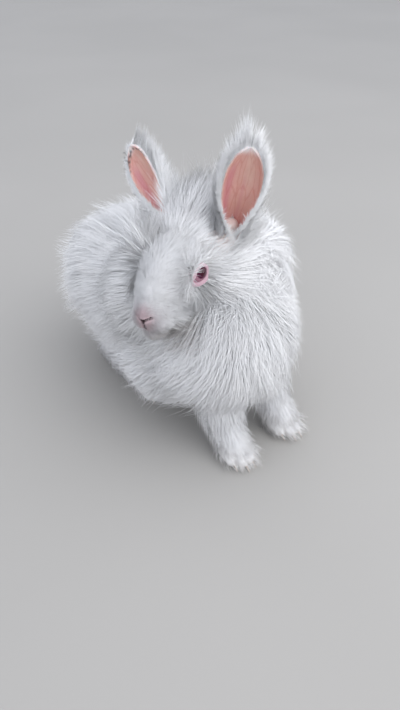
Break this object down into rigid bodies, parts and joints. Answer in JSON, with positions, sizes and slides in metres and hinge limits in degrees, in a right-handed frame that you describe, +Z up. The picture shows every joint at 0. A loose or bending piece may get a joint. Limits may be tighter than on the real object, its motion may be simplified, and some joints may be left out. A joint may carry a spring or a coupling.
{
  "type": "angora rabbit",
  "caption": "Young white angora rabbit standing still on its forepaws with its head turned to one side, upright cupped ears and a long soft coat in tapered locks.",
  "frame": {"origin": "on the floor, under the middle of the whole animal's outline seen from above", "axes": "+Z up, forepaws towards -Y, the animal's left side towards +X"},
  "size_m": [0.1485, 0.2534, 0.2368],
  "materials": {
    "white_fur": "soft long fur",
    "ear_skin": "thin bare skin with a furry back",
    "ruby_eye": "wet and glossy"
  },
  "bodies": {
    "root": {"torso": "white_fur", "neck": "white_fur", "head": "white_fur", "tail": "white_fur", "foreleg_left": "white_fur", "foreleg_right": "white_fur", "thigh_left": "white_fur", "thigh_right": "white_fur", "hindfoot_left": "white_fur", "hindfoot_right": "white_fur", "ear_left": "ear_skin", "ear_right": "ear_skin", "eye_left": "ruby_eye", "eye_right": "ruby_eye"}
  },
  "joints": []
}
